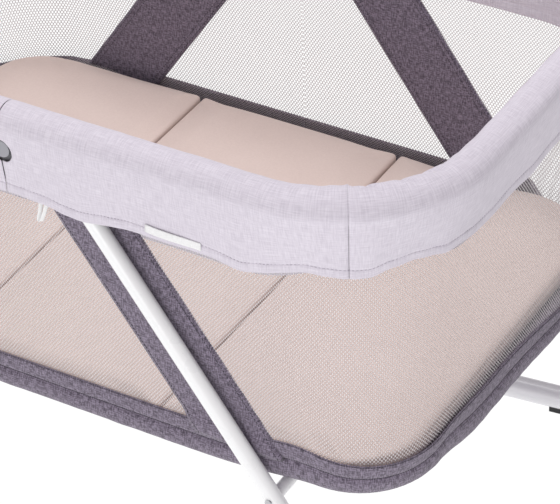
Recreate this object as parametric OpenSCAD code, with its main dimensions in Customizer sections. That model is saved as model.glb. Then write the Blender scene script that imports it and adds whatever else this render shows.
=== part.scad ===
// Travel play yard: a net basket hung in a padded rim, on two folding leg frames.
// Millimetres. Origin on the floor under the middle, +X along the basket, +Y to the far side, +Z up.

/* [Rim] */
// Length of the rim loop, between the centres of its end tubes
rim_l = 1016; // [900:2:1200]
// Width of the rim loop, between the centres of its side tubes
rim_w = 678; // [600:2:800]
// Height of the rim tube's centre above the floor
rim_z = 746; // [700:1:800]
// Corner radius of the rim tube's centre line
rim_corner_r = 165; // [120:1:200]
// Outside diameter of the rim tube
rim_tube_d = 20; // [16:0.5:22]
// Wall of the rim tube
rim_tube_wall = 1.5; // [1:0.1:2]
// Outside diameter of the foam on the rim
foam_d = 43.4; // [36:0.2:46]
// Thickness of the sleeve cloth, with its wadding
sleeve_t = 2; // [1:0.1:3]
// Length of the sleeve's outer skirt, from the tube's centre to its hem
outer_skirt_h = 101; // [80:1:110]
// How far the outer skirt draws in from the roll to its hem
outer_skirt_draw = 10.2; // [4:0.2:11]
// Length of the sleeve's inner skirt, from the tube's centre to its hem
inner_skirt_h = 129; // [90:1:150]

/* [Basket] */
// Height of the pad's top edge above the floor
pad_top_z = 360; // [340:1:380]
// Distance from the rim tube's centre line in to the net
wall_inset = 19; // [17:0.5:20]
// Thickness of the net
wall_t = 1.6; // [0.8:0.1:2]
// Corner radius of the basket at its floor
wall_low_r = 108; // [90:1:140]
// Height of the dark border
border_h = 48.5; // [40:0.5:60]
// Thickness of the dark border
border_t = 3.9; // [2:0.1:4.5]
// Thickness of the basket's floor
floor_t = 3; // [2:0.5:4]
// Width of a diagonal band, measured level
band_w = 117; // [90:1:130]
// Thickness of a diagonal band
band_t = 1.5; // [0.8:0.1:2]
// How far a band's middle lies inward of its leg, along the basket
band_shift = 20; // [10:1:30]

/* [Pad] */
// Thickness of a pad panel at its edge
pad_t = 25.3; // [20:0.1:30]
// Height of the crown of a pad panel
pad_crown = 5; // [2:0.5:8]
// Outer corner radius of the pad
pad_corner_r = 105; // [80:1:130]
// Room between the pad and the net at the ends
pad_gap_end = 28; // [20:1:40]
// Room between the pad and the net at the sides
pad_gap_side = 14; // [10:1:20]
// Thickness of the stiffening board under a panel
board_t = 2.4; // [2:0.1:4]
// Margin of a board inside its panel
board_margin = 9; // [6:1:20]
// Gap between neighbouring panels
fold_gap = 0.6; // [0.4:0.1:1]

/* [Legs] */
// Outside diameter of a leg tube
leg_d = 22; // [20:0.5:24]
// Wall of a leg tube
leg_wall = 1.5; // [1:0.1:2]
// Angle of the legs from upright
leg_angle = 35; // [33:0.5:37]
// Distance of a leg's pivot from the middle of the hub
leg_pivot_x = 73; // [68:1:78]
// Drop of the leg pivots below the rim tube's centre
leg_pivot_drop = 56; // [54:1:60]
// Height of the cross tubes above the floor
cross_z = 318; // [290:1:320]
// Outside diameter of a cross tube
cross_d = 16; // [12:0.5:18]
// Diameter of a rivet's shank
rivet_d = 5; // [4:0.5:6]

/* [Foot] */
// Outside diameter of the foot tube
foot_d = 32; // [28:0.5:34]
// Wall of the foot tube
foot_wall = 2; // [1.5:0.1:3]
// Distance of a foot tube's tips from the middle of the floor
foot_tip_x = 300; // [280:1:340]
// Angle by which the foot tube's prongs turn inward
foot_toe = 6.3; // [0:0.1:10]
// Bend radius of the foot tube's corners
foot_bend_r = 40; // [34:1:60]
// Thickness of rubber under the foot tube
rubber_t = 3; // [2:0.5:5]
// Length of a rubber foot pad
rubber_l = 46; // [30:1:60]
// Distance of a rubber pad from the middle of a foot tube's bar
rubber_y = 150; // [90:5:200]
// Distance of a rubber pad from the tip of a foot tube's prong
rubber_tip = 104; // [60:1:120]
// Wall of the sockets that join legs to the foot tube
socket_wall = 3.5; // [3:0.1:5]

/* [Hub] */
// Distance of a rim pivot from the middle of the hub
rim_pivot_x = 38; // [36:0.5:42]
// Thickness of the knuckles' tongues
tongue_t = 10; // [8:0.5:12]
// Thickness of the hub's cheeks
cheek_t = 6.2; // [5:0.1:7]
// Radius of the hub's lobes round the pivots
lobe_r = 14; // [13:0.5:15]
// Thickness of the hub's cover
cover_t = 2; // [1.5:0.1:2.5]
// Diameter of the pivot pins
pin_d = 8; // [6:0.5:9]
// Diameter of the release button
button_d = 22; // [18:0.5:24]
// Travel of the release button
button_travel = 4; // [3:0.5:5]
// How far the release button stands out of the cover
button_proud = 4; // [3:0.1:5]

/* [Clearances] */
// Gap between pieces that only lie against each other
fit_gap = 0.3; // [0.2:0.05:0.4]
// Radial gap between a pin and its bore
pin_gap = 0.05; // [0.03:0.01:0.1]

/* [Hidden] */
$fn = 64;
eps = 0.01;
big = 3000;
frame_y = rim_w / 2;
rim_x = rim_l / 2;
foam_r = foam_d / 2;
roll_in_r = foam_r + fit_gap;
roll_r = roll_in_r + sleeve_t;
wall_x = rim_x - wall_inset;
wall_y = frame_y - wall_inset;
wall_top_r = rim_corner_r - wall_inset;
floor_top = pad_top_z - pad_t - board_t - fit_gap;
border_top = floor_top + border_h;
wall_top = rim_z - sqrt(pow(foam_r, 2) - pow(wall_inset - wall_t / 2, 2)) - fit_gap - wall_t;
skin_y = wall_y + wall_t / 2 + fit_gap;
leg_r = leg_d / 2;
leg_pivot_z = rim_z - leg_pivot_drop;
foot_r = foot_d / 2;
foot_z = rubber_t + foot_r;
leg_run = (leg_pivot_z - foot_z) / cos(leg_angle);
foot_x = leg_pivot_x + leg_run * sin(leg_angle);
leg_end_gap = (foot_r + fit_gap + leg_r * sin(leg_angle)) / cos(leg_angle) + fit_gap;
leg_start = 36;
leg_end = leg_run - leg_end_gap;
cross_s = (leg_pivot_z - cross_z) / cos(leg_angle);
cross_x = leg_pivot_x + cross_s * sin(leg_angle);
rivet_top_s = leg_start + 16;
rivet_head_t = 2;
plug_l = 34;
collar_l = 4;
rim_start = leg_start + collar_l;
foam_start_x = rim_pivot_x + 102;
prong_out = 8;
foot_end_x = foot_x + prong_out + foot_bend_r * (1 + sin(foot_toe));
foot_bar_y = frame_y + prong_out * tan(foot_toe) - foot_bend_r * cos(foot_toe);
prong_l = (foot_x - foot_tip_x) / cos(foot_toe);
slot_t = tongue_t + 2 * fit_gap;
hub_t = slot_t + 2 * cheek_t;
web_x = rim_pivot_x - lobe_r - 4;
button_z = rim_z - leg_pivot_drop / 2 - 2;
button_r = button_d / 2;
flange_r = button_r + 1.5;
flange_t = 4;
hub_face = hub_t / 2;
button_back = hub_face - fit_gap - flange_t;
bore_floor = button_back - button_travel - 3.7;
spring_r = button_r - 3.5;
screw_r = 1.5;
screw_head_r = 3.2;
screw_head_t = 1.6;
screw_x = 14;
screw_z = [rim_z + 6, leg_pivot_z - 6];
tongue_h = 18;
plug_gap = 0.1;
lap = 1;
pad_x = wall_x - pad_gap_end;
pad_y = wall_y - pad_gap_side;
fold_x = pad_x / 3;
fold_r = 8;
board_r = 6;
board_z = floor_top + fit_gap;
cushion_z = board_z + board_t;
tag_l = 60;
tag_h = 16;
tag_t = 0.8;
tag_x = 225;
tag_up = 3;
loop_w = 13;
loop_h = 44;
loop_x = 29;
loop_tape = 3.5;
eye_h = loop_h * 0.6;

module left(is_left) {
    mirror([is_left ? 1 : 0, 0, 0]) children();
}

module far(is_far) {
    mirror([0, is_far ? 1 : 0, 0]) children();
}

module both_sides() {
    for (is_far = [false, true]) far(is_far) children();
}

// A round rod along Y on the near side, from distance y0 to y1 out from the middle
module rod_y(x, z, r, y0, y1) {
    translate([x, -y0, z]) rotate([90, 0, 0]) cylinder(r = r, h = y1 - y0);
}

module rounded_rect(l, w, r) {
    square([l - 2 * r, w], center = true);
    square([l, w - 2 * r], center = true);
    for (x = [-1, 1], y = [-1, 1]) translate([x * (l / 2 - r), y * (w / 2 - r)]) circle(r = r);
}

// A plate with the basket's plan, grown by d beyond the net's middle surface
module basket_plate(d, r, z, h) {
    translate([0, 0, z]) linear_extrude(h) rounded_rect(2 * (wall_x + d), 2 * (wall_y + d), r + d);
}

// Sweeps a profile round the right half of the rim: x of the profile is outward, y is up
module rim_sweep(start_x) {
    straight = rim_x - rim_corner_r - start_x;
    bar = rim_w - 2 * rim_corner_r;
    translate([rim_x, bar / 2, rim_z]) rotate([90, 0, 0]) linear_extrude(bar) children();
    both_sides() {
        translate([start_x + straight, -frame_y, rim_z]) rotate([0, 0, -90]) rotate([90, 0, 0])
            linear_extrude(straight) children();
        translate([rim_x - rim_corner_r, rim_corner_r - frame_y, rim_z]) rotate([0, 0, -90])
            rotate_extrude(angle = 90) translate([rim_corner_r, 0]) children();
    }
}

module ring(r_out, r_in) {
    difference() {
        circle(r = r_out);
        circle(r = r_in);
    }
}

module rim_tube(is_left) {
    color("silver") left(is_left) rim_sweep(rim_pivot_x + rim_start)
        ring(rim_tube_d / 2, rim_tube_d / 2 - rim_tube_wall);
}

module rim_foam(is_left) {
    color("khaki") left(is_left) rim_sweep(foam_start_x) ring(foam_r, rim_tube_d / 2 + fit_gap);
}

// Section of the sleeve: half a roll over the foam, with a skirt on either side
module sleeve_section() {
    skirt_out = -wall_inset - wall_t / 2 - fit_gap;
    skirt_in = skirt_out - sleeve_t;
    tuck = -roll_r;
    difference() {
        circle(r = roll_r);
        circle(r = roll_in_r);
        translate([-big / 2, -big]) square([big, big]);
    }
    polygon([
        [-roll_r, 0], [-roll_in_r, 0], [skirt_out, tuck], [skirt_out, -inner_skirt_h],
        [skirt_in, -inner_skirt_h], [skirt_in, tuck]
    ]);
    polygon([
        [roll_in_r, 0], [roll_r, 0], [roll_r - outer_skirt_draw, -outer_skirt_h],
        [roll_in_r - outer_skirt_draw, -outer_skirt_h]
    ]);
}

module sleeve(is_left) {
    color("lavender") left(is_left) difference() {
        rim_sweep(fit_gap) sleeve_section();
        both_sides() rod_y(0, button_z, button_r + 5, frame_y, frame_y + foam_d);
    }
}

module hem_tag() {
    lean = atan(outer_skirt_draw / outer_skirt_h);
    color("white") translate([tag_x, -frame_y - roll_r + outer_skirt_draw, rim_z - outer_skirt_h])
        rotate([lean, 0, 0]) translate([-tag_l / 2, -tag_t - fit_gap, tag_up])
        cube([tag_l, tag_t, tag_h]);
}

module tape_loop() {
    y = frame_y + roll_in_r - outer_skirt_draw - fit_gap;
    color("white") translate([loop_x, sleeve_t - y, rim_z - outer_skirt_h - loop_h * 0.8])
        rotate([90, 0, 0]) linear_extrude(sleeve_t) difference() {
            translate([0, loop_h / 2]) rounded_rect(loop_w, loop_h, loop_w / 2 - lap);
            translate([0, loop_h / 2 - loop_tape]) rounded_rect(loop_w - 2 * loop_tape, eye_h, lap);
        }
}

// The net stands on the floor and its corners open from the floor's radius to the rim's
module wall_body(d) {
    hull() {
        basket_plate(d, wall_low_r, floor_top, wall_t);
        basket_plate(d, wall_top_r, wall_top, wall_t);
    }
}

module wall(is_left) {
    color("ivory") left(is_left) intersection() {
        difference() {
            wall_body(wall_t / 2);
            translate([0, 0, -eps]) wall_body(-wall_t / 2);
            basket_plate(-wall_t / 2, wall_top_r, wall_top - eps, big);
        }
        translate([fit_gap / 2, -big / 2, 0]) cube([big, big, big]);
    }
}

module border_band() {
    inner = wall_t / 2 + fit_gap;
    color("dimgray") difference() {
        basket_plate(inner + border_t, wall_low_r, floor_top, border_h);
        basket_plate(inner, wall_low_r, floor_top - eps, big);
    }
}

module floor_panel() {
    color("gray") basket_plate(wall_t / 2 + fit_gap + border_t, wall_low_r, floor_top - floor_t, floor_t);
}

module band(is_far, is_left) {
    slope = tan(leg_angle);
    low = border_top + fit_gap;
    mid = leg_pivot_x + (leg_pivot_z - low) * slope - band_shift;
    top = mid - (wall_top - low) * slope;
    color("slategray") far(is_far) left(is_left) intersection() {
        translate([0, -skin_y, 0]) rotate([90, 0, 0]) linear_extrude(band_t) polygon([
            [mid - band_w / 2, low], [mid + band_w / 2, low],
            [top + band_w / 2, wall_top], [top - band_w / 2, wall_top]
        ]);
        translate([fit_gap / 2, -big / 2, 0]) cube([big, big, big]);
    }
}

// A plate with the hub's outline, from distance y0 to y1 out from the middle
module hub_plate(y0, y1) {
    edge = lobe_r - lap;
    top_x = rim_pivot_x + lap;
    low_x = leg_pivot_x + lap;
    translate([0, -y0, 0]) rotate([90, 0, 0]) linear_extrude(y1 - y0) polygon([
        [top_x, rim_z + edge], [-top_x, rim_z + edge], [-top_x, rim_z], [-low_x, leg_pivot_z],
        [-low_x, leg_pivot_z - edge], [low_x, leg_pivot_z - edge], [low_x, leg_pivot_z],
        [top_x, rim_z]
    ]);
    for (x = [-1, 1]) {
        rod_y(x * rim_pivot_x, rim_z, lobe_r, y0, y1);
        rod_y(x * leg_pivot_x, leg_pivot_z, lobe_r, y0, y1);
    }
}

module hub_screw_rods(r, y0, y1) {
    for (i = [0, 1]) rod_y((2 * i - 1) * screw_x, screw_z[i], r, y0, y1);
}

module hub_body(is_far) {
    color("darkgray") far(is_far) difference() {
        hub_plate(frame_y - hub_face, frame_y + hub_face);
        for (is_left = [false, true]) left(is_left) {
            translate([web_x, -frame_y - slot_t / 2, leg_pivot_z - big / 2]) cube([big, slot_t, big]);
            rod_y(rim_pivot_x, rim_z, pin_d / 2 + pin_gap, frame_y - hub_t, frame_y + hub_t);
            rod_y(leg_pivot_x, leg_pivot_z, pin_d / 2 + pin_gap, frame_y - hub_t, frame_y + hub_t);
        }
        rod_y(0, button_z, flange_r + fit_gap, frame_y + bore_floor, frame_y + hub_t);
        hub_screw_rods(screw_r + plug_gap, frame_y, frame_y + hub_t);
    }
}

module hub_cover(is_far) {
    color("gray") far(is_far) difference() {
        hub_plate(frame_y + hub_face, frame_y + hub_face + cover_t);
        rod_y(0, button_z, button_r + fit_gap, frame_y, frame_y + hub_t);
        hub_screw_rods(screw_r + plug_gap, frame_y, frame_y + hub_t);
    }
}

module hub_screws() {
    face = frame_y + hub_face + cover_t;
    color("silver") both_sides() {
        hub_screw_rods(screw_r, frame_y + lap, face + lap);
        hub_screw_rods(screw_head_r, face, face + screw_head_t);
    }
}

module pivot_pins(x, z) {
    head_r = pin_d / 2 + 2.5;
    head_t = 2;
    color("silver") both_sides() for (is_left = [false, true]) left(is_left) {
        rod_y(x, z, pin_d / 2, frame_y - hub_face - eps, frame_y + hub_face - fit_gap);
        rod_y(x, z, head_r, frame_y - hub_face - head_t, frame_y - hub_face);
    }
}

module release_button(is_far) {
    color("firebrick") far(is_far) {
        rod_y(0, button_z, button_r, frame_y + button_back, frame_y + hub_face + cover_t + button_proud);
        rod_y(0, button_z, flange_r, frame_y + button_back, frame_y + button_back + flange_t);
    }
}

module button_spring(is_far) {
    wire_d = 1.5;
    color("silver") far(is_far) difference() {
        rod_y(0, button_z, spring_r, frame_y + bore_floor, frame_y + button_back - fit_gap);
        rod_y(0, button_z, spring_r - wire_d, frame_y, frame_y + hub_t);
    }
}

module rim_knuckles(is_left) {
    color("dimgray") left(is_left) both_sides() difference() {
        union() {
            rod_y(rim_pivot_x, rim_z, lobe_r - 3, frame_y - tongue_t / 2, frame_y + tongue_t / 2);
            translate([rim_pivot_x, -frame_y - tongue_t / 2, rim_z - tongue_h / 2])
                cube([leg_start + lap, tongue_t, tongue_h]);
            translate([rim_pivot_x + leg_start, -frame_y, rim_z]) rotate([0, 90, 0]) {
                cylinder(d = rim_tube_d, h = collar_l);
                cylinder(r = rim_tube_d / 2 - rim_tube_wall - plug_gap, h = collar_l + plug_l);
            }
        }
        rod_y(rim_pivot_x, rim_z, pin_d / 2 + pin_gap, frame_y - hub_t, frame_y + hub_t);
    }
}

// Places its children on the near right leg: the origin at the pivot, +Z down the leg
module on_leg() {
    translate([leg_pivot_x, -frame_y, leg_pivot_z]) rotate([0, 180 - leg_angle, 0]) children();
}

module leg_holes(gap) {
    for (s = [rivet_top_s, cross_s]) on_leg() translate([0, 0, s]) rotate([90, 0, 0])
        cylinder(d = rivet_d + 2 * gap, h = leg_d * 2, center = true);
}

module leg(is_far, is_left) {
    color("white") far(is_far) left(is_left) difference() {
        on_leg() translate([0, 0, leg_start]) cylinder(r = leg_r, h = leg_end - leg_start);
        on_leg() cylinder(r = leg_r - leg_wall, h = leg_run);
        leg_holes(plug_gap);
    }
}

module leg_knuckles(is_left) {
    color("dimgray") left(is_left) both_sides() difference() {
        union() {
            rod_y(leg_pivot_x, leg_pivot_z, lobe_r - 2, frame_y - tongue_t / 2, frame_y + tongue_t / 2);
            on_leg() {
                translate([-tongue_h / 2, -tongue_t / 2, 0])
                    cube([tongue_h, tongue_t, leg_start - collar_l + lap]);
                translate([0, 0, leg_start - collar_l]) cylinder(r = leg_r, h = collar_l);
                translate([0, 0, leg_start - lap]) cylinder(r = leg_r - leg_wall - plug_gap, h = plug_l);
            }
        }
        rod_y(leg_pivot_x, leg_pivot_z, pin_d / 2 + pin_gap, frame_y - hub_t, frame_y + hub_t);
        leg_holes(plug_gap);
    }
}

module cross_tube(is_left) {
    color("white") left(is_left) difference() {
        translate([cross_x, 0, cross_z]) rotate([90, 0, 0]) difference() {
            cylinder(d = cross_d, h = rim_w, center = true);
            cylinder(d = cross_d - 2 * leg_wall, h = rim_w + lap, center = true);
        }
        both_sides() on_leg() cylinder(r = leg_r + pin_gap, h = leg_run);
    }
}

// A rivet across the leg at distance s down it, with its head from distance h0 to h1 out
module rivet(s, y0, y1, h0, h1) {
    x = leg_pivot_x + s * sin(leg_angle);
    z = leg_pivot_z - s * cos(leg_angle);
    rod_y(x, z, rivet_d / 2, y0, y1);
    rod_y(x, z, rivet_d / 2 + rivet_head_t, h0, h1);
}

// The knuckle's rivets have their heads inside, clear of the skirt; the cross tube's show outside
module leg_rivets(is_left) {
    inside = frame_y - leg_r - pin_gap;
    outside = frame_y + leg_r + pin_gap;
    color("silver") left(is_left) both_sides() {
        rivet(rivet_top_s, inside - lap, outside - lap, inside - rivet_head_t, inside);
        rivet(cross_s, inside - rivet_d, outside + lap, outside, outside + rivet_head_t);
    }
}

// Places its children on the near right prong: the origin under the leg, +Z inward along it
module on_prong() {
    translate([foot_x, -frame_y, foot_z]) rotate([0, 0, -foot_toe]) rotate([0, -90, 0]) children();
}

module leg_sockets(is_left) {
    saddle_l = 58;
    collar = 46;
    color("darkgray") left(is_left) both_sides() difference() {
        union() {
            on_prong() translate([0, 0, lap - prong_out])
                cylinder(r = foot_r + socket_wall, h = saddle_l);
            on_leg() translate([0, 0, leg_end - collar])
                cylinder(r = leg_r + socket_wall, h = collar + leg_end_gap - socket_wall);
        }
        on_prong() translate([0, 0, -prong_out * 2])
            cylinder(r = foot_r + pin_gap, h = saddle_l + 3 * prong_out);
        on_leg() translate([0, 0, leg_end - collar - lap])
            cylinder(r = leg_r + pin_gap, h = collar + lap);
        translate([0, -big / 2, rubber_t - fit_gap - big]) cube([big, big, big]);
    }
}

module foot_section() {
    ring(foot_r, foot_r - foot_wall);
}

module foot_tube(is_left) {
    color("gainsboro") left(is_left) {
        translate([foot_end_x, foot_bar_y, foot_z]) rotate([90, 0, 0])
            linear_extrude(2 * foot_bar_y) foot_section();
        both_sides() translate([foot_end_x - foot_bend_r, -foot_bar_y, foot_z]) {
            rotate([0, 0, -90 - foot_toe]) rotate_extrude(angle = 90 + foot_toe)
                translate([foot_bend_r, 0]) foot_section();
            rotate([0, 0, -90 - foot_toe]) translate([foot_bend_r, 0, 0]) rotate([90, 0, 0])
                linear_extrude(prong_l + prong_out / cos(foot_toe)) foot_section();
        }
    }
}

module foot_caps(is_left) {
    cap_t = 3;
    plug = 14;
    color("gray") left(is_left) both_sides() on_prong() {
        translate([0, 0, prong_l]) cylinder(r = foot_r, h = cap_t);
        translate([0, 0, prong_l - plug]) cylinder(r = foot_r - foot_wall - plug_gap, h = plug + lap);
    }
}

// A rubber pad that cradles the tube from below: the tube's centre is at the origin, along X
module rubber_cradle() {
    side = foot_r - 4;
    difference() {
        translate([-rubber_l / 2, -side, -foot_z]) cube([rubber_l, 2 * side, foot_r * 0.6]);
        rotate([0, 90, 0]) cylinder(r = foot_r + pin_gap, h = rubber_l + lap, center = true);
    }
}

module foot_pads(is_left) {
    color("dimgray") left(is_left) both_sides() {
        translate([foot_end_x, -rubber_y, foot_z]) rotate([0, 0, 90]) rubber_cradle();
        on_prong() translate([0, 0, prong_l - rubber_tip]) rotate([0, 90, 0]) rubber_cradle();
    }
}

// One level outline of a pad panel, drawn in by d: corner radius r0 at its low X end, r1 at its high
function panel_ring(x0, x1, r0, r1, d, z, n = 6) = [
    for (corner = [0 : 3], i = [0 : n])
        let (r = max((corner == 0 || corner == 3 ? r1 : r0) - d, 1),
            side = corner == 0 || corner == 3 ? 1 : -1,
            x = (side > 0 ? x1 - d - r : x0 + d + r),
            y = (corner < 2 ? 1 : -1) * (pad_y - d - r),
            a = 90 * corner + 90 * i / n)
        [x + r * cos(a), y + r * sin(a), z]
];

// A crowned cushion: level outlines from its underside, round its edge and up over the crown
module cushion(x0, x1, r0, r1) {
    levels = [
        [4, 0], [1, 3], [0, pad_t * 0.4], [0.8, pad_t * 0.75], [4, pad_t - 2], [10, pad_t],
        [34, pad_t + pad_crown * 0.6], [70, pad_t + pad_crown * 0.88], [110, pad_t + pad_crown * 0.97]
    ];
    rings = [for (l = levels) panel_ring(x0, x1, r0, r1, l[0], cushion_z + l[1])];
    m = len(rings[0]);
    last = (len(rings) - 1) * m;
    middle = (x0 + x1) / 2;
    points = concat(
        [for (r = rings, p = r) p],
        [[middle, 0, cushion_z], [middle, 0, cushion_z + pad_t + pad_crown]]
    );
    under = len(points) - 2;
    sides = [
        for (k = [0 : len(rings) - 2], i = [0 : m - 1], half = [0, 1])
            let (a = k * m + i, b = k * m + (i + 1) % m)
            half == 0 ? [a, a + m, b] : [b, a + m, b + m]
    ];
    caps = [
        for (i = [0 : m - 1], top = [0, 1])
            top == 0 ? [under, i, (i + 1) % m] : [under + 1, last + (i + 1) % m, last + i]
    ];
    polyhedron(points, concat(sides, caps));
}

module pad_side(is_left) {
    color("wheat") left(is_left) cushion(fold_x + fold_gap / 2, pad_x, fold_r, pad_corner_r);
}

module pad_middle() {
    color("wheat") cushion(-fold_x + fold_gap / 2, fold_x - fold_gap / 2, fold_r, fold_r);
}

module board(l, r) {
    linear_extrude(board_t) rounded_rect(l, 2 * (pad_y - board_margin), r);
}

module pad_board_side(is_left) {
    l = pad_x - fold_x - 2 * board_margin;
    color("tan") left(is_left) translate([(pad_x + fold_x) / 2, 0, board_z]) intersection() {
        board(l, board_r);
        translate([-l / 2, 0, 0]) board(2 * l, pad_corner_r - board_margin);
    }
}

module pad_board_middle() {
    color("tan") translate([0, 0, board_z]) board(2 * (fold_x - board_margin), board_r);
}

hub_body(false);  // hub_body_near
hub_body(true);  // hub_body_far
hub_cover(false);  // hub_cover_near
hub_cover(true);  // hub_cover_far
hub_screws();
pivot_pins(rim_pivot_x, rim_z);  // rim_pivot_pins
pivot_pins(leg_pivot_x, leg_pivot_z);  // leg_pivot_pins
release_button(false);  // release_button_near
release_button(true);  // release_button_far
button_spring(false);  // button_spring_near
button_spring(true);  // button_spring_far
wall(true);  // wall_left
wall(false);  // wall_right
border_band();
floor_panel();
band(false, true);  // band_near_left
band(false, false);  // band_near_right
band(true, true);  // band_far_left
band(true, false);  // band_far_right
sleeve(true);  // sleeve_left
sleeve(false);  // sleeve_right
hem_tag();
tape_loop();
rim_tube(true);  // rim_tube_left
rim_tube(false);  // rim_tube_right
rim_foam(true);  // rim_foam_left
rim_foam(false);  // rim_foam_right
rim_knuckles(true);  // rim_knuckles_left
rim_knuckles(false);  // rim_knuckles_right
leg(false, true);  // leg_near_left
leg(false, false);  // leg_near_right
leg(true, true);  // leg_far_left
leg(true, false);  // leg_far_right
leg_knuckles(true);  // leg_knuckles_left
leg_knuckles(false);  // leg_knuckles_right
cross_tube(true);  // cross_tube_left
cross_tube(false);  // cross_tube_right
leg_rivets(true);  // leg_rivets_left
leg_rivets(false);  // leg_rivets_right
leg_sockets(true);  // leg_sockets_left
leg_sockets(false);  // leg_sockets_right
foot_tube(true);  // foot_tube_left
foot_tube(false);  // foot_tube_right
foot_caps(true);  // foot_caps_left
foot_caps(false);  // foot_caps_right
foot_pads(true);  // foot_pads_left
foot_pads(false);  // foot_pads_right
pad_side(true);  // pad_left
pad_middle();
pad_side(false);  // pad_right
pad_board_side(true);  // pad_board_left
pad_board_middle();
pad_board_side(false);  // pad_board_right
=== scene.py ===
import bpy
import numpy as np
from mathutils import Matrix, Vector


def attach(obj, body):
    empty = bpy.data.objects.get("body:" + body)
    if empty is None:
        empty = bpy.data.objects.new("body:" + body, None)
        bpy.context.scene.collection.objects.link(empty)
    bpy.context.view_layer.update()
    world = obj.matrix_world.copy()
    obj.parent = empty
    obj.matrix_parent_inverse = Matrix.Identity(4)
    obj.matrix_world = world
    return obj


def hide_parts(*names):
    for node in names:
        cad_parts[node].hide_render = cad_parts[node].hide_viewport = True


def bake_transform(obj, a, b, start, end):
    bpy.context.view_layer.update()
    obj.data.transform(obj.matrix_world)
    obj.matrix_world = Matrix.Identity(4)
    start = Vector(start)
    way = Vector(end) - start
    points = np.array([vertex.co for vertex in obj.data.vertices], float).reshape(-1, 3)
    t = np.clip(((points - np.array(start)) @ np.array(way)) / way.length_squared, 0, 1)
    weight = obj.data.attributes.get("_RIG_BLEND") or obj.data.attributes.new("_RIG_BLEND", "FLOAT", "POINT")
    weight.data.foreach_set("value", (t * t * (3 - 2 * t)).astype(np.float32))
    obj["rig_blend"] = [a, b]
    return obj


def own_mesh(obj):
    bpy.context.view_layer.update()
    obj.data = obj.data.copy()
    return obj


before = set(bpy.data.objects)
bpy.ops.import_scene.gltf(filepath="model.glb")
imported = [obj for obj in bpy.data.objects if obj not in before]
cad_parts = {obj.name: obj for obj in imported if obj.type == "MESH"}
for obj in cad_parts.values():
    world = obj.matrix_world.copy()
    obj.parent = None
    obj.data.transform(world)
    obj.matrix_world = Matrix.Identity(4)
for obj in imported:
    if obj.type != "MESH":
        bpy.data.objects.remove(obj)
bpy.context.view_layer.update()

import math

import bmesh
import bpy
from mathutils import Matrix, Vector, noise


# The photographer's place: above the near right corner, with a long lens and a slight tilt.
# The turn, tilt, roll and distance come from fitting the fold lines, hem, border and leg.
aim = Vector((0, 0, 0.360))
turn, tilt, roll = (math.radians(angle) for angle in (31.4825, 36.0949, -2.1624))
standing_back = Vector((0.12643, -0.01545, 3.8438))
lens_in_pixels, picture_width = 2986.9, 560
camera_data = bpy.data.cameras.new("camera")
camera_data.sensor_width = 36
camera_data.lens = lens_in_pixels / picture_width * camera_data.sensor_width
camera = bpy.data.objects.new("camera", camera_data)
bpy.context.scene.collection.objects.link(camera)
camera.matrix_world = (
    Matrix.Translation(aim)
    @ Matrix.Rotation(turn, 4, "Z")
    @ Matrix.Rotation(math.pi / 2 - tilt, 4, "X")
    @ Matrix.Rotation(roll, 4, "Z")
    @ Matrix.Translation(standing_back)
)
bpy.context.scene.camera = camera
bpy.context.scene.view_settings.view_transform = "Standard"


# The white studio: a floor that glows pure white and lights the object from below, and pale surroundings.
# A broad lamp in front, a little to the right, lights the skirts; one overhead lights the pad.
def add_node(tree, kind, inputs, **settings):
    """Adds a shader node. An input given as a socket is linked, any other is set."""
    node = tree.nodes.new(kind)
    for name, value in settings.items():
        setattr(node, name, value)
    for key, value in inputs.items():
        if isinstance(value, bpy.types.NodeSocket):
            tree.links.new(value, node.inputs[key])
        else:
            node.inputs[key].default_value = value
    return node.outputs[0]


def new_finish(name, **values):
    """A new material with a Principled shader, its plain values set on the shader's own sockets."""
    finish = bpy.data.materials.new(name)
    finish.use_nodes = True
    tree = finish.node_tree
    shader = tree.nodes["Principled BSDF"]
    for key, value in values.items():
        shader.inputs[key.replace("_", " ")].default_value = value
    return finish, tree, shader


def own_place(tree):
    """A point's place in the piece's own metres."""
    return tree.nodes.new("ShaderNodeTexCoord").outputs["Object"]


def mottle(tree, place, scale, detail):
    """Cloudy noise, so many turns to the metre."""
    return add_node(tree, "ShaderNodeTexNoise", {"Vector": place, "Scale": scale, "Detail": detail})


def ramp(tree, value, low, high, bottom=0.0, top=1.0):
    """Goes from bottom to top as a value goes from low to high, and stays between them."""
    return add_node(tree, "ShaderNodeMapRange", {
        "Value": value, "From Min": low, "From Max": high, "To Min": bottom, "To Max": top,
    })


def rough_between(tree, shader, share, least, most):
    """Lets a finish's roughness follow a share."""
    tree.links.new(ramp(tree, share, 0, 1, least, most), shader.inputs["Roughness"])


def put_piece(name, shape, finish):
    """Turns a finished bmesh into an object with smooth faces."""
    mesh = bpy.data.meshes.new(name)
    shape.to_mesh(mesh)
    shape.free()
    mesh.shade_smooth()
    mesh.materials.append(finish)
    piece = bpy.data.objects.new(name, mesh)
    bpy.context.scene.collection.objects.link(piece)
    return piece


floor_half = 16
floor_finish, tree, shader = new_finish(
    "studio_floor", Base_Color=(0.06, 0.06, 0.06, 1), Emission_Color=(1, 1, 1, 1), Emission_Strength=1.0,
)
rough_between(tree, shader, mottle(tree, own_place(tree), 3.0, 2.0), 0.86, 0.94)
shape = bmesh.new()
bmesh.ops.create_grid(shape, x_segments=1, y_segments=1, size=floor_half)
put_piece("studio_floor", shape, floor_finish)

world = bpy.data.worlds.new("studio")
bpy.context.scene.world = world
world.use_nodes = True
surroundings = world.node_tree.nodes["Background"].inputs
surroundings["Color"].default_value = (1, 0.955, 0.985, 1)
surroundings["Strength"].default_value = 0.44


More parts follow.
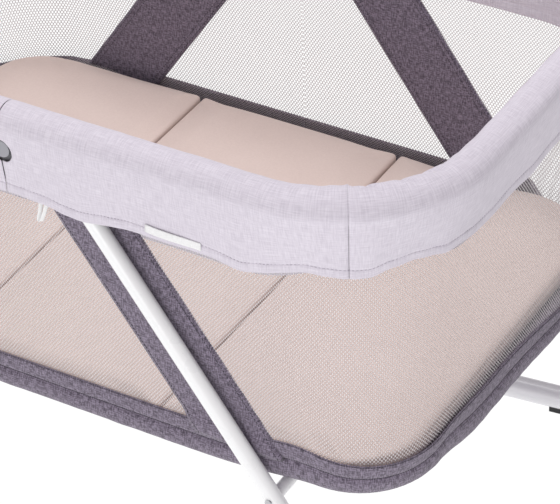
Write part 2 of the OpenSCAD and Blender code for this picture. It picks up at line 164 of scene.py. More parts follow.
def soft_lamp(name, place, size, power):
    """A square lamp that faces the object and stays out of the picture."""
    lamp = bpy.data.lights.new(name, "AREA")
    lamp.size = size
    lamp.energy = power
    holder = bpy.data.objects.new(name, lamp)
    bpy.context.scene.collection.objects.link(holder)
    holder.location = place
    holder.visible_camera = False
    holder.rotation_euler = (Vector(place) - aim).to_track_quat("Z", "Y").to_euler()


soft_lamp("front_lamp", (0.70, -3.05, 1.05), size=1.6, power=30)
soft_lamp("top_lamp", (0.05, 0.35, 2.4), size=1.0, power=24)


# The leg tubes and the cross tubes under the floor: round steel tube, powder coated gloss white.
# They are the solids themselves; the coat has a faint orange peel and lightly scuffed patches.
def dress(finish, *names):
    """Gives solids their finish."""
    for name in names:
        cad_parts[name].material_slots[0].material = finish


def mix(tree, share, first, second, **settings):
    return add_node(tree, "ShaderNodeMixRGB", {"Fac": share, "Color1": first, "Color2": second}, **settings)


def colour_between(tree, shader, share, first, second):
    """Lets a finish's colour follow a share, from the first to the second."""
    tree.links.new(mix(tree, share, (*first, 1), (*second, 1)), shader.inputs["Base Color"])


def raise_grain(tree, shader, height, strength, depth):
    """Gives a finish a fine relief."""
    tree.links.new(
        add_node(tree, "ShaderNodeBump", {"Strength": strength, "Distance": depth, "Height": height}),
        shader.inputs["Normal"],
    )


def coated_metal(name, colour, dull, bright, peel_depth, metallic):
    finish, tree, shader = new_finish(name, Coat_Weight=0.35, Coat_Roughness=0.12, Metallic=metallic)
    place = own_place(tree)
    patches = mottle(tree, place, 26.0, 5.0)
    colour_between(tree, shader, patches, [tone * 0.94 for tone in colour], colour)
    rough_between(tree, shader, patches, bright, dull)
    raise_grain(tree, shader, mottle(tree, place, 620.0, 1.0), 0.25, peel_depth)
    return finish


white_coat = coated_metal(
    "white_coat", (0.93, 0.935, 0.94), dull=0.36, bright=0.22, peel_depth=0.0002, metallic=0
)
dress(
    white_coat, "leg_near_left", "leg_near_right", "leg_far_left", "leg_far_right",
    "cross_tube_left", "cross_tube_right",
)


# The foot tubes: thicker steel tube bent to a U at each end, with a satin silver-grey coat.
# Their prongs turn slightly inward, and the sockets of the legs clamp round them.
silver_coat = coated_metal(
    "silver_coat", (0.74, 0.73, 0.76), dull=0.52, bright=0.42, peel_depth=0.00005, metallic=0.2
)
dress(silver_coat, "foot_tube_left", "foot_tube_right")


# Plastic mouldings: the hubs with covers and buttons, the knuckles in the tube ends, sockets and caps.
# All have a fine spark-eroded grain; the hubs are mid grey and the sockets light grey.
def moulded(name, colour, rough, grain_depth):
    finish, tree, shader = new_finish(name)
    place = own_place(tree)
    cloud = mottle(tree, place, 60.0, 3.0)
    colour_between(tree, shader, cloud, [tone * 0.9 for tone in colour], colour)
    rough_between(tree, shader, cloud, rough - 0.08, rough + 0.08)
    grain = add_node(tree, "ShaderNodeTexVoronoi", {"Vector": place, "Scale": 1100.0})
    raise_grain(tree, shader, grain, 0.3, grain_depth)
    return finish


hub_plastic = moulded("hub_plastic", (0.15, 0.15, 0.16), rough=0.55, grain_depth=0.0003)
dress(
    hub_plastic, "hub_body_near", "hub_body_far", "hub_cover_near", "hub_cover_far",
    "rim_knuckles_left", "rim_knuckles_right", "leg_knuckles_left", "leg_knuckles_right",
)
socket_plastic = moulded("socket_plastic", (0.56, 0.56, 0.58), rough=0.5, grain_depth=0.0003)
dress(socket_plastic, "leg_sockets_left", "leg_sockets_right", "foot_caps_left", "foot_caps_right")
button_plastic = moulded("button_plastic", (0.34, 0.34, 0.37), rough=0.25, grain_depth=0.0001)
dress(button_plastic, "release_button_near", "release_button_far")


# The rubber pads under the foot tubes: matt black rubber, moulded to cradle the tube.
# Each foot stands on four: two under its end and one under each prong.
foot_rubber = moulded("foot_rubber", (0.03, 0.03, 0.032), rough=0.85, grain_depth=0.0004)
dress(foot_rubber, "foot_pads_left", "foot_pads_right")


# Bare metal: pivot pins, rivets and cover screws are zinc plated, the rim tubes drawn steel.
# The plating is brushed lightly and dulls in patches.
def bare_metal(name, colour, rough, drawn):
    finish, tree, shader = new_finish(name, Metallic=1.0)
    along = add_node(tree, "ShaderNodeMapping", {"Vector": own_place(tree), "Scale": drawn})
    streak = mottle(tree, along, 1.0, 3.0)
    colour_between(tree, shader, streak, [tone * 0.8 for tone in colour], colour)
    rough_between(tree, shader, streak, rough - 0.1, rough + 0.1)
    return finish


zinc_plate = bare_metal("zinc_plate", (0.62, 0.62, 0.64), rough=0.34, drawn=(500, 500, 500))
dress(zinc_plate, "hub_screws", "rim_pivot_pins", "leg_pivot_pins", "leg_rivets_left", "leg_rivets_right")
drawn_steel = bare_metal("drawn_steel", (0.60, 0.60, 0.61), rough=0.4, drawn=(40, 40, 700))
dress(drawn_steel, "rim_tube_left", "rim_tube_right")


# The springs behind the release buttons: three turns of steel wire in the hub's bore.
# Each sits on the bore's floor; the real spring shortens as its button is pressed, but this coil keeps its
# length and stays with the basket.
def close_ends(shape):
    """Fills the open ends of a drawn tube."""
    bmesh.ops.holes_fill(shape, edges=[edge for edge in shape.edges if edge.is_boundary])


def point_faces(shape, sense=None):
    """Points the faces outwards; those of an open cloth go to the side where their sense adds up."""
    bmesh.ops.recalc_face_normals(shape, faces=shape.faces)
    if sense and sum(sense(face) for face in shape.faces) < 0:
        bmesh.ops.reverse_faces(shape, faces=shape.faces)


button_z = 0.716
spring_r, wire_r, spring_turns, steps_a_turn = 0.0067, 0.0007, 3, 24
spring_floor, spring_head = 0.3386, 0.3457
for name, side in (("near", -1), ("far", 1)):
    shape = bmesh.new()
    bmesh.ops.create_circle(
        shape, segments=8, radius=wire_r,
        matrix=Matrix.Translation((spring_r, spring_floor + wire_r, button_z)),
    )
    climb = (spring_head - spring_floor - 2 * wire_r) / (spring_turns * steps_a_turn)
    bmesh.ops.spin(
        shape, geom=shape.edges[:], cent=(0, 0, button_z), axis=(0, 1, 0), dvec=(0, climb, 0),
        angle=2 * math.pi * spring_turns, steps=spring_turns * steps_a_turn, use_merge=False,
    )
    close_ends(shape)
    bmesh.ops.scale(shape, verts=shape.verts, vec=(1, side, 1))
    point_faces(shape)
    spring = put_piece(f"button_coil_{name}", shape, zinc_plate)
    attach(spring, "basket")
    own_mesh(spring)
    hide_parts(f"button_spring_{name}")


# The foam on the rim tubes: slit polyurethane tube pushed over the steel, open cells.
# It follows the bent rim from beside one hub to beside the other, and fills the cloth's roll.
def loop_path(half_x, half_y, bend, z):
    """Gives a function for the frame at a run round the right half of a rounded loop, and its length."""
    side, arc, end = half_x - bend, bend * math.pi / 2, 2 * (half_y - bend)

    def frame_at(run):
        stand = Matrix.Translation((0, -half_y, z))
        for length, bent in ((side, False), (arc, True), (end, False), (arc, True), (side, False)):
            step = min(run, length)
            if bent:
                to_middle = Matrix.Translation((0, bend, 0))
                stand = stand @ to_middle @ Matrix.Rotation(step / bend, 4, "Z") @ to_middle.inverted()
            else:
                stand = stand @ Matrix.Translation((step, 0, 0))
            run -= step
        return stand

    return frame_at, 2 * (side + arc) + end


def cloth_layers(shape):
    """The two lengths kept on each corner of a cloth: its run along the piece, and its girth across."""
    layers = shape.verts.layers.float
    return [layers.get(name) or layers.new(name) for name in ("run", "girth")]


def only(parts, kind):
    return [part for part in parts if isinstance(part, kind)]


def sweep(shape, path, runs):
    """Draws the edges in shape, made at the first run's frame, round the path through the other runs."""
    run_layer, _ = cloth_layers(shape)
    front = shape.edges[:]
    for last, run in zip(runs, runs[1:]):
        grown = bmesh.ops.extrude_edge_only(shape, edges=front)["geom"]
        corners, front = only(grown, bmesh.types.BMVert), only(grown, bmesh.types.BMEdge)
        bmesh.ops.transform(shape, matrix=path(run) @ path(last).inverted(), verts=corners)
        for corner in corners:
            corner[run_layer] = run


def chain(shape, path, run, outline, closed=False):
    """Sets out a section at a run of the path: points (outward, up), with the girth kept on each."""
    run_layer, girth_layer = cloth_layers(shape)
    row, girth = [], 0
    for number, (out, up) in enumerate(outline):
        corner = shape.verts.new(path(run) @ Vector((0, -out, up)))
        if number:
            girth += (Vector(outline[number]) - Vector(outline[number - 1])).length
        corner[run_layer], corner[girth_layer] = run, girth
        row.append(corner)
    for first, second in zip(row, row[1:] + row[:1] if closed else row[1:]):
        shape.edges.new((first, second))
    return row


def even_runs(start, stop, pitch):
    """Even steps from start to stop, about a pitch apart."""
    count = max(1, round((stop - start) / pitch))
    return [start + (stop - start) * step / count for step in range(count + 1)]


def lay_cloth(shape):
    """Writes the run and girth of each corner as the cloth's own flat coordinates, in metres."""
    run_layer, girth_layer = cloth_layers(shape)
    flat = shape.loops.layers.uv.new("cloth")
    for face in shape.faces:
        for loop in face.loops:
            loop[flat].uv = (loop.vert[run_layer], loop.vert[girth_layer])


def to_side(shape, mirror):
    """Mirrors a right half to the left where mirror is -1."""
    if mirror < 0:
        bmesh.ops.scale(shape, verts=shape.verts, vec=(-1, 1, 1))
        bmesh.ops.reverse_faces(shape, faces=shape.faces)


def clamp(t):
    return max(0, min(1, t))


def ease(t):
    """A smooth step from 0 to 1."""
    t = clamp(t)
    return t * t * (3 - 2 * t)


def ring_points(radius, degrees):
    """Points (outward, up) round the rim's line, at angles up from its outer side."""
    angles = [math.radians(angle) for angle in degrees]
    return [(radius * math.cos(angle), radius * math.sin(angle)) for angle in angles]


rim_x, frame_y, rim_z, rim_bend = 0.508, 0.339, 0.746, 0.165
rim_path, rim_length = loop_path(rim_x, frame_y, rim_bend, rim_z)
end_reach, end_fade, end_squeeze = 0.08, 0.20, 0.20


def squeezed(run, out, up):
    """The share of its radius that the foam keeps: the cloth squeezes it at the ends, above and inside."""
    end = ease(1 - max(0, abs(run - rim_length / 2) - end_reach) / end_fade)
    inner = ease(0.5 + 0.8 * (up - out) / math.hypot(out, up))
    return 1 - end_squeeze * end * inner


foam_r, foam_bore, foam_start = 0.0213, 0.0106, 0.141
foam_outline = ring_points(foam_r, range(-84, 265, 12)) + ring_points(foam_bore, range(264, -85, -12))
foam_finish, tree, shader = new_finish("slit_foam", Roughness=0.95)
cells = add_node(tree, "ShaderNodeTexVoronoi", {"Vector": own_place(tree), "Scale": 700.0})
colour_between(tree, shader, cells, (0.55, 0.52, 0.42), (0.86, 0.83, 0.74))
raise_grain(tree, shader, cells, 0.6, 0.0008)
halves = (("left", -1), ("right", 1))
for side, mirror in halves:
    shape = bmesh.new()
    chain(shape, rim_path, foam_start, foam_outline, closed=True)
    sweep(shape, rim_path, even_runs(foam_start, rim_length - foam_start, 0.014))
    lay_cloth(shape)
    run_layer, _ = cloth_layers(shape)
    for corner in shape.verts:
        stand = rim_path(corner[run_layer])
        out, up = -(stand.inverted() @ corner.co).y, corner.co.z - rim_z
        if math.hypot(out, up) > foam_r - 0.001:
            slim = squeezed(corner[run_layer], out, up)
            corner.co = stand @ Vector((0, -out * slim, up * slim))
    close_ends(shape)
    to_side(shape, mirror)
    point_faces(shape)
    foam = put_piece(f"foam_tube_{side}", shape, foam_finish)
    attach(foam, f"rim_{side}")
    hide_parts(f"rim_foam_{side}")


# The net: white knitted polyester with staggered round holes, sewn to the rim and to the border.
# Each half is one cut, stretched smooth, whose corners open from the floor's radius to the rim's.
wall_x, wall_y = 0.489, 0.320
low_bend, top_bend = 0.108, 0.146
floor_top, net_top = 0.332, 0.728
border_top, border_seam, border_foot, net_foot = 0.3805, 0.3580, 0.3315, 0.348
hole_pitch, hole_rows, hole_r = 0.0045, 0.0059, 0.00150


def cloth_place(tree):
    """A point's place on the flat cloth, in metres."""
    flat = tree.nodes.new("ShaderNodeUVMap")
    flat.uv_map = "cloth"
    return flat.outputs[0]


def combine(tree, operation, *numbers):
    return add_node(tree, "ShaderNodeMath", dict(enumerate(numbers)), operation=operation)


def combine_places(tree, operation, *places):
    return add_node(tree, "ShaderNodeVectorMath", dict(enumerate(places)), operation=operation)


net_finish, tree, shader = new_finish("white_net", Roughness=0.7)
cell = add_node(tree, "ShaderNodeMapping", {
    "Vector": cloth_place(tree), "Scale": (1 / hole_pitch, 1 / hole_rows, 1),
})
reaches = []
for stagger in (0.0, 0.5):
    within = combine_places(tree, "FRACTION", combine_places(tree, "ADD", cell, (stagger, stagger, 0)))
    centred = combine_places(tree, "SUBTRACT", within, (0.5, 0.5, 0))
    sized = combine_places(tree, "MULTIPLY", centred, (hole_pitch, hole_rows, 0))
    reaches.append(combine_places(tree, "LENGTH", sized).node.outputs["Value"])
reach = combine(tree, "MINIMUM", *reaches)
tree.links.new(ramp(tree, reach, hole_r - 0.0002, hole_r + 0.0002, 0, 0.86), shader.inputs["Alpha"])
# Painted shade: the threads darken towards each hole's edge, standing in for the shade of the hole's wall.
hole_rim_shade = ramp(tree, reach, hole_r, hole_r + 0.0006)
colour_between(tree, shader, hole_rim_shade, (0.34, 0.29, 0.29), (0.92, 0.895, 0.91))
raise_grain(tree, shader, ramp(tree, reach, hole_r, 0.0022), 0.5, 0.0006)
net_low_path, _ = loop_path(wall_x, wall_y, low_bend, net_foot)
net_top_path, _ = loop_path(wall_x, wall_y, top_bend, net_top)
flat_side, flat_end = wall_x - top_bend, 2 * (wall_y - top_bend)
low_corner = 2 * (top_bend - low_bend) + low_bend * math.pi / 2
top_corner = top_bend * math.pi / 2
net_rows = 30
slack_from, slack_to = (0.489, 0, 0.38), (0.6025, 0, 0.5386)


def net_runs(corner):
    """Runs round half a loop whose corners have that length; columns stay upright on the flat parts."""
    runs, start = [0.0], 0.0
    for length, count in zip((flat_side, corner, flat_end, corner, flat_side), (30, 18, 26, 18, 30)):
        runs += [start + length * step / count for step in range(1, count + 1)]
        start += length
    return runs


def trace(shape, path, runs, cloth_runs, girth):
    """Sets out a line of corners along the path, joined by edges."""
    run_layer, girth_layer = cloth_layers(shape)
    row = []
    for run, cloth_run in zip(runs, cloth_runs):
        corner = shape.verts.new(path(run).translation)
        corner[run_layer], corner[girth_layer] = cloth_run, girth
        row.append(corner)
    return [shape.edges.new(pair) for pair in zip(row, row[1:])]


bow_depth, bow_ripple, bow_fade, foot_held, top_held = 0.004, 0.0015, 0.08, 0.045, 0.09
bow_core = (0.34, 0.17)


def give(place):
    """How free the net is to bow: nothing on the flat sides or at its sewn edges, full at the ends."""
    return (
        ease((abs(place.x) - flat_side) / bow_fade) * ease((place.z - floor_top - foot_held) / bow_fade)
        * ease((net_top - top_held - place.z) / bow_fade)
    )


def waver(*place):
    """Smooth noise at a place, between about -1 and 1."""
    return noise.noise(Vector(place))


def bell(t):
    """A rounded hump: 1 in the middle, fading to both sides."""
    return math.exp(-t * t)


corner_tuck, far_gather, tuck_lift = 0.010, 0.018, 0.28
tuck_fade_x, tuck_fade_y, settle_h = 0.08, 0.05, 0.14


def settled(z):
    """How far the net shares what its foot does: wholly at the border, less above it."""
    return ease((border_top + settle_h - z) / settle_h)


def drawn_in(place):
    """Where a point of the basket lies: its foot tucks in at the corners, and the far ones gather whole."""
    over_x, over_y = abs(place.x) - wall_x + low_bend, abs(place.y) - wall_y + low_bend
    out = Vector((max(0, over_x), max(0, over_y))).normalized()
    low = clamp((border_top - place.z) / (border_top - border_foot))
    tuck = corner_tuck * low * bell(min(0, over_x) / tuck_fade_x) * bell(min(0, over_y) / tuck_fade_y)
    if place.y > 0:
        tuck = max(tuck, far_gather * 2 * out.x * out.y * settled(place.z))
    return place - Vector((
        math.copysign(out.x * tuck, place.x), math.copysign(out.y * tuck, place.y), -tuck_lift * tuck * low,
    ))


far_drop, corner_drop, right_drop = 0.004, 0.006, 0.010
seam_drop, top_drop, top_corner_drop = 0.010, 0.008, 0.007
lift_x, lift_y, lift_spread = 0.355, -0.19, 0.06
seam_lift, top_lift, end_lift = 0.008, 0.005, 0.007


def hang(place):
    """How far the foot strays from level: down along the far side, up round the near right corner."""
    above = clamp((place.z - border_seam) / (border_top - border_seam))
    below = clamp((place.z - border_foot) / (border_seam - border_foot))
    front = bell((place.x - lift_x) / lift_spread) * ease((-0.15 - place.y) / 0.1)
    end = bell((place.y - lift_y) / lift_spread) * ease((place.x - 0.40) / 0.05)
    lift = front * (seam_lift * below + top_lift * above) + end_lift * end * below
    far = ease((place.y + 0.08) / 0.36)
    corner, right = ease((abs(place.x) - 0.26) / 0.14), ease((place.x - 0.24) / 0.14)
    drop = far_drop + corner_drop * corner + right_drop * right
    drop += seam_drop * below + (top_drop + top_corner_drop * corner) * above
    return lift - far * drop


def strayed(place, share=1):
    """Where a point of the level basket really lies; the net above the border takes a share of the drop."""
    return drawn_in(place) + Vector((0, 0, hang(place) * share))


def flipped(place, mirror):
    """A place on the right half, or its twin on the left where mirror is -1."""
    return Vector((place.x * mirror, place.y, place.z))


def outward_at(place, core_x, core_y):
    """The level direction from a loop's inner rectangle out to a place."""
    core = Vector((max(-core_x, min(core_x, place.x)), max(-core_y, min(core_y, place.y)), place.z))
    return (place - core).normalized()


def tie_between(piece, side, mirror):
    """Ties a piece to the basket below and the rim above, with its slack in the zone between them."""
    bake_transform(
        piece, "basket", f"rim_{side}",
        (slack_from[0] * mirror, *slack_from[1:]), (slack_to[0] * mirror, *slack_to[1:]),
    )


for side, mirror in halves:
    shape = bmesh.new()
    low_runs, top_runs = net_runs(low_corner), net_runs(top_corner)
    cloth_runs = [(low + top) / 2 for low, top in zip(low_runs, top_runs)]
    low_edge = trace(shape, net_low_path, low_runs, cloth_runs, 0)
    top_edge = trace(shape, net_top_path, top_runs, cloth_runs, net_top - net_foot)
    bmesh.ops.bridge_loops(shape, edges=low_edge + top_edge)
    upright = [edge for edge in shape.edges if abs(edge.verts[0].co.z - edge.verts[1].co.z) > 0.1]
    bmesh.ops.subdivide_edges(shape, edges=upright, cuts=net_rows, use_grid_fill=True)
    for corner in shape.verts:
        bow = bow_ripple * waver(*corner.co * 9) - bow_depth
        corner.co += outward_at(corner.co, *bow_core) * give(corner.co) * bow
        place = flipped(corner.co, mirror)
        corner.co = flipped(strayed(place, settled(place.z)), mirror)
    lay_cloth(shape)
    point_faces(shape, lambda face: face.normal.dot(face.calc_center_median() * Vector((1, 1, 0))))
    to_side(shape, mirror)
    net = put_piece(f"net_{side}", shape, net_finish)
    tie_between(net, side, mirror)
    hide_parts(f"wall_{side}")


# Heathered canvas: the dark bands and the border are one polyester cloth with light and dark slubs.
# Each band is cut double, turned in and stitched along both edges, and sewn on the net behind a leg.
weave_pitch = 0.0016


def heathered(name, dark, light, low, high, slub, sheen, weave_depth, seams=(), seam_top=0):
    """A plain weave of yarns that vary along their length; a painted shade line down each seam, for the shade
    in its crease, fades above its top.
    """
    finish, tree, shader = new_finish(name, Roughness=0.85, Sheen_Weight=sheen, Sheen_Roughness=0.5)
    flat = cloth_place(tree)
    fine, long = slub
    yarns = []
    for scale in ((1 / fine, 1 / long, 1), (1 / long, 1 / fine, 1)):
        drawn = add_node(tree, "ShaderNodeMapping", {"Vector": flat, "Scale": scale})
        yarns.append(mottle(tree, drawn, 1.0, 3.0))
    heather = ramp(tree, combine(tree, "ADD", *yarns), low, high)
    colour = mix(tree, heather, (*dark, 1), (*light, 1))
    # Painted shade: each seam's crease is darkened into the colour as a thin line, weaker above seam_top.
    for seam in seams:
        run = add_node(tree, "ShaderNodeSeparateXYZ", {"Vector": flat})
        seam_shade_shown = ramp(tree, run.node.outputs["Y"], seam_top - 0.03, seam_top + 0.01, 0.25)
        away = combine(tree, "ABSOLUTE", combine(tree, "SUBTRACT", run, seam))
        line = ramp(tree, away, 0.0003, 0.0010, 0.4)
        colour = mix(tree, seam_shade_shown, colour, line, blend_type="MULTIPLY")
    tree.links.new(colour, shader.inputs["Base Color"])
    turn_a_metre = 2 * math.pi / weave_pitch
    waves = []
    for across in ((turn_a_metre, 0, 0), (0, turn_a_metre, 0)):
        count = combine_places(tree, "DOT_PRODUCT", flat, across).node.outputs["Value"]
        waves.append(combine(tree, "SINE", count))
    raised = combine(tree, "ADD", combine(tree, "MULTIPLY", *waves), heather)
    raise_grain(tree, shader, raised, 0.6, weave_depth)
    return finish


def sewing_thread(name, dark, light):
    finish, tree, shader = new_finish(name, Roughness=0.7)
    colour_between(tree, shader, mottle(tree, own_place(tree), 900.0, 2.0), dark, light)
    return finish


def join(whole, part):
    """Adds one bmesh to another and frees it."""
    mesh = bpy.data.meshes.new("part")
    part.to_mesh(mesh)
    part.free()
    whole.from_mesh(mesh)
    bpy.data.meshes.remove(mesh)


dark_canvas = heathered(
    "dark_canvas", (0.074, 0.056, 0.085), (0.305, 0.258, 0.340), low=0.84, high=1.18,
    slub=(0.0013, 0.008), sheen=0.25, weave_depth=0.0003,
)
dark_thread = sewing_thread("dark_thread", (0.018, 0.015, 0.022), (0.06, 0.052, 0.07))
stitch_l, stitch_r = 0.0034, 0.00055


def sew(name, lines, finish, pitch=0.0046):
    """Stitches along lines of (place, outward) pairs: one small bead of thread each."""
    seam = bmesh.new()
    for line in lines:
        shape = bmesh.new()
        left_over = 0.0
        for (first, out_first), (second, out_second) in zip(line, line[1:]):
            length = (second - first).length
            along = (second - first).normalized()
            at = left_over
            while at < length:
                up = out_first.lerp(out_second, at / length).cross(along).normalized()
                turned = Matrix((along, up, along.cross(up))).transposed().to_4x4()
                bmesh.ops.create_icosphere(
                    shape, subdivisions=1, radius=1,
                    matrix=Matrix.Translation(first + along * at) @ turned
                    @ Matrix.Diagonal((stitch_l / 2, stitch_r, stitch_r, 1)),
                )
                at += pitch
            left_over = at - length
        join(seam, shape)
    return put_piece(name, seam, finish)


leg_lean, leg_pivot_x, leg_pivot_z = math.radians(35), 0.073, 0.690
leg_slope, band_slant = math.tan(leg_lean), 1 / math.cos(leg_lean)
band_w, band_top, band_bottom, band_shift = 0.117, 0.724, 0.350, -0.020
band_mid_bottom = leg_pivot_x + (leg_pivot_z - band_bottom) * leg_slope + band_shift
band_face, band_back, border_step = 0.3226, 0.3184, 0.0040
turned_edge, stitch_dip, band_ripple = 0.0010, 0.0012, 0.0006
band_seams = (-0.46, -0.40, 0.40, 0.46)


def band_place(across, z, lap_z):
    """A point on a right-hand band's face: its X, and how far out it lies where it laps the border."""
    x = band_mid_bottom - (z - band_bottom) * leg_slope + across * band_w
    return x, band_face + border_step * ease((lap_z + 0.012 - z) / 0.014)


for depth, sign_y, band_low, lap_z in (("near", -1, 0.3645, 0.3805), ("far", 1, 0.338, 0.360)):
    for side, mirror in halves:
        shape = bmesh.new()
        bmesh.ops.create_grid(shape, x_segments=26, y_segments=60, size=0.5)
        run_layer, girth_layer = cloth_layers(shape)
        for corner in shape.verts:
            across, z = corner.co.x, band_low + (band_top - band_low) * (corner.co.y + 0.5)
            x, out = band_place(across, z, lap_z)
            edge = 0.5 - abs(across)
            out += turned_edge * min(1, edge / 0.03) - stitch_dip * bell((edge - 0.04) / 0.012)
            out += band_ripple * waver(x * 30, z * 30, 4 * sign_y + mirror)
            corner.co = Vector((mirror * max(x, 0.0006), sign_y * out, z))
            corner[run_layer], corner[girth_layer] = x, z
        backing = bmesh.ops.extrude_face_region(shape, geom=shape.faces[:], use_keep_orig=True)["geom"]
        for corner in only(backing, bmesh.types.BMVert):
            corner.co.y = sign_y * band_back
        lay_cloth(shape)
        point_faces(shape)
        band = put_piece(f"canvas_band_{depth}_{side}", shape, dark_canvas)
        lines = []
        for across in band_seams:
            line = []
            for z in even_runs(band_low + 0.002, band_top, 0.009):
                x, out = band_place(across, z, lap_z)
                if x > 0.001:
                    line.append((Vector((mirror * x, sign_y * (out + 0.0002), z)), Vector((0, sign_y, 0))))
            lines.append(line)
            lines.append([(Vector((place.x, sign_y * band_back, place.z)), -out) for place, out in line])
        seam = sew(f"band_stitches_{depth}_{side}", lines, dark_thread)
        for piece in (band, seam):
            tie_between(piece, side, mirror)
        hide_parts(f"band_{depth}_{side}")


# The border round the foot of the basket: the same canvas over a strip of wadding.
# A flat upper strip is sewn to the net; below its seam the cloth puffs out to a soft lower roll.
border_path, border_length = loop_path(wall_x, wall_y, low_bend, 0)
border_in, border_outside = 0.0011, 0.052
wave_rise, pucker_rise, wave_out, pucker_out = 0.0022, 0.0008, 0.0010, 0.0012
border_outline = [(border_in + out, z) for out, z in (
    (0, border_foot + 0.0015), (0, border_seam), (0, border_top - 0.0006),
    (0.0012, border_top), (0.0028, border_top - 0.0012), (0.0034, border_top - 0.005),
    (0.0034, border_top - 0.014), (0.0030, border_seam + 0.003), (0.0018, border_seam + 0.0007),
    (0.0016, border_seam), (0.0024, border_seam - 0.0010), (0.0044, border_seam - 0.0036),
    (0.0056, border_seam - 0.0085), (0.0060, border_seam - 0.0135), (0.0056, border_seam - 0.0185),
    (0.0044, border_seam - 0.0225), (0.0024, border_foot + 0.0010), (0.0012, border_foot),
)]


def soften(piece, levels=1):
    soft = piece.modifiers.new("soft", "SUBSURF")
    soft.levels = soft.render_levels = levels


shape = bmesh.new()
for side, mirror in reversed(halves):
    half = bmesh.new()
    chain(half, border_path, 0, border_outline, closed=True)
    sweep(half, border_path, even_runs(0, border_length, 0.0075))
    run_layer, girth_layer = cloth_layers(half)
    for corner in half.verts:
        run = corner[run_layer]
        low = clamp((border_seam - corner.co.z) / (border_seam - border_foot))
        corner.co = flipped(strayed(flipped(corner.co, mirror)), mirror)
        wave = waver(run * 14, 3.1 if side == "right" else 8.4, 0)
        pucker = waver(run * 60, corner.co.z * 20, 5.0)
        corner.co.z += (wave_rise * wave + pucker_rise * pucker) * low
        if corner[girth_layer] > border_outside:
            outward = outward_at(corner.co, wall_x - low_bend, wall_y - low_bend)
            corner.co += outward * (pucker_out * pucker + wave_out * wave) * (0.3 + low)
    lay_cloth(half)
    to_side(half, mirror)
    join(shape, half)
bmesh.ops.remove_doubles(shape, verts=shape.verts, dist=0.0002)
point_faces(shape)
border = put_piece("canvas_border", shape, dark_canvas)
soften(border)
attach(border, "basket")
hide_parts("border_band")


def seam_place(stand, out, up, mirror):
    """A place on a seam, out and up from the path's frame there, with its outward direction."""
    place, outward = stand @ Vector((0, -out, up)), stand.to_3x3() @ Vector((0, -1, 0))
    return flipped(place, mirror), flipped(outward, mirror)


lines = []
for height, out in ((border_seam, 0.0018), (border_top - 0.0016, 0.0026)):
    for mirror in (1, -1):
        stands = [border_path(run) for run in even_runs(0, border_length, 0.008)]
        line = [seam_place(stand, border_in + out, height, mirror) for stand in stands]
        lines.append([(strayed(place), outward) for place, outward in line])
border_stitches = sew("border_stitches", lines, dark_thread, pitch=0.0032)
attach(border_stitches, "basket")


# The basket's floor: dark cloth over a stiff backing, sewn into the border, which the pad lies on.
# It hangs a few millimetres lower in the middle.
floor_level, floor_lap, edge_up = floor_top - 0.0006, 0.0012, 0.0016
edge_place = Vector((0, -floor_lap, floor_level + edge_up))
ring = [border_path(run) @ edge_place for run in even_runs(0, border_length, 0.012)]
ring += [flipped(place, -1) for place in ring[-2:0:-1]]
ring = [strayed(place) for place in ring]


def thicken(piece, thickness, offset=0):
    skin = piece.modifiers.new("thickness", "SOLIDIFY")
    skin.thickness, skin.offset = thickness, offset


shape = bmesh.new()
outer = None
for share, sunk in ((1.0, 0), (0.95, 0.0004), (0.85, 0.0016), (0.65, 0.0028), (0.35, 0.0034)):
    row = [
        shape.verts.new((place.x * share, place.y * share, floor_level - sunk if outer else place.z))
        for place in ring
    ]
    inner = [shape.edges.new(pair) for pair in zip(row, row[1:] + row[:1])]
    if outer:
        bmesh.ops.bridge_loops(shape, edges=outer + inner)
    outer = inner
shape.faces.new(row)
run_layer, girth_layer = cloth_layers(shape)
for corner in shape.verts:
    corner[run_layer], corner[girth_layer] = corner.co.x, corner.co.y
lay_cloth(shape)
point_faces(shape, lambda face: face.normal.z)
floor_sheet = put_piece("basket_floor", shape, dark_canvas)
thicken(floor_sheet, 0.0024, offset=-1)
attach(floor_sheet, "basket")
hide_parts("floor_panel")


# The pad: three panels of foam in one smooth cream cover, each with a hardboard stiffener beneath.
# The cover is sewn through between the panels, so it folds there; each panel swells between its seams.
pad_y, pad_end, fold_x = 0.306, 0.461, 0.15367
cushion_z, pad_edge_z, pad_crown_z = 0.3348, 0.360, 0.365
panel_gap, panel_shy, end_r, fold_r, rim_round, skin_voxel = 0.0003, 0.0015, 0.105, 0.005, 0.004, 0.0045
crown_room, crown_fade, far_ride_up = 0.001, 0.012, 0.006
side_held, fold_held, swell_cap, swell_steps = 0.016, 0.004, 0.003, 20
board_finish, tree, shader = new_finish("hardboard", Roughness=0.75)
fibres = mottle(tree, own_place(tree), 240.0, 6.0)
colour_between(tree, shader, fibres, (0.17, 0.10, 0.05), (0.36, 0.24, 0.13))
raise_grain(tree, shader, fibres, 0.4, 0.0003)
dress(board_finish, "pad_board_left", "pad_board_middle", "pad_board_right")
cover_finish, tree, shader = new_finish("cream_cover", Roughness=0.8, Sheen_Weight=0.2, Sheen_Roughness=0.45)
place = own_place(tree)
yarn = mottle(tree, place, 420.0, 2.0)
mottled = combine(tree, "ADD", mottle(tree, place, 9.0, 3.0), yarn)
colour_between(tree, shader, ramp(tree, mottled, 0.6, 1.4), (0.70, 0.565, 0.515), (0.77, 0.635, 0.58))
raise_grain(tree, shader, yarn, 0.3, 0.0003)


def round_off(shape, parts, radius, affect, segments):
    bmesh.ops.bevel(
        shape, geom=parts, offset=radius, offset_type="OFFSET", affect=affect, segments=segments,
        profile=0.5, material=-1,
    )


